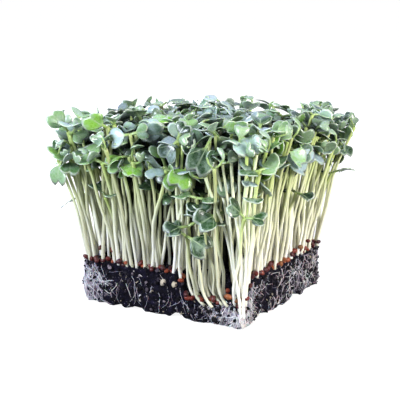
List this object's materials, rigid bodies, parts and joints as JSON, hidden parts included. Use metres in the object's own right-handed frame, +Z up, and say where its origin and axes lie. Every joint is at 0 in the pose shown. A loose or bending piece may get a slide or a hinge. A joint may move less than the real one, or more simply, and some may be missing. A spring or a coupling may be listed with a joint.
{
  "type": "microgreens block",
  "caption": "Square block of young radish-type sprouts with notched seed leaves, growing on its own slab of root-bound potting mix that rests on a flat underside.",
  "frame": {"origin": "middle of the slab's flat underside, on the surface that the block stands on", "axes": "+Z up along the stems; X and Y along the slab's two pairs of sides, with the crumbled corner at +X -Y"},
  "size_m": [0.1164, 0.1156, 0.0919],
  "materials": {
    "potting_mix": "moist, crumbly, near-black fibrous mix with pale grains, matt",
    "sprout": "living stems and leaves, soft satin",
    "leaf": "grey-green seed leaf with a bluish bloom, satin",
    "stem": "pale, juicy, translucent stem, satin",
    "seed_coat": "dry papery red-brown seed coat",
    "root": "fine white root threads",
    "grain": "pale dry mineral grain and chaff"
  },
  "bodies": {
    "root": {"soil_slab": "potting_mix", "tuft_r1_c1": "sprout", "tuft_r1_c2": "sprout", "tuft_r1_c3": "sprout", "tuft_r1_c4": "sprout", "tuft_r1_c5": "sprout", "tuft_r1_c6": "sprout", "tuft_r1_c7": "sprout", "tuft_r2_c1": "sprout", "tuft_r2_c2": "sprout", "tuft_r2_c3": "sprout", "tuft_r2_c4": "sprout", "tuft_r2_c5": "sprout", "tuft_r2_c6": "sprout", "tuft_r2_c7": "sprout", "tuft_r3_c1": "sprout", "tuft_r3_c2": "sprout", "tuft_r3_c3": "sprout", "tuft_r3_c4": "sprout", "tuft_r3_c5": "sprout", "tuft_r3_c6": "sprout", "tuft_r3_c7": "sprout", "tuft_r4_c1": "sprout", "tuft_r4_c2": "sprout", "tuft_r4_c3": "sprout", "tuft_r4_c4": "sprout", "tuft_r4_c5": "sprout", "tuft_r4_c6": "sprout", "tuft_r4_c7": "sprout", "tuft_r5_c1": "sprout", "tuft_r5_c2": "sprout", "tuft_r5_c3": "sprout", "tuft_r5_c4": "sprout", "tuft_r5_c5": "sprout", "tuft_r5_c6": "sprout", "tuft_r5_c7": "sprout", "tuft_r6_c1": "sprout", "tuft_r6_c2": "sprout", "tuft_r6_c3": "sprout", "tuft_r6_c4": "sprout", "tuft_r6_c5": "sprout", "tuft_r6_c6": "sprout", "tuft_r6_c7": "sprout", "tuft_r7_c1": "sprout", "tuft_r7_c2": "sprout", "tuft_r7_c3": "sprout", "tuft_r7_c4": "sprout", "tuft_r7_c5": "sprout", "tuft_r7_c6": "sprout", "tuft_r7_c7": "sprout"}
  },
  "joints": []
}
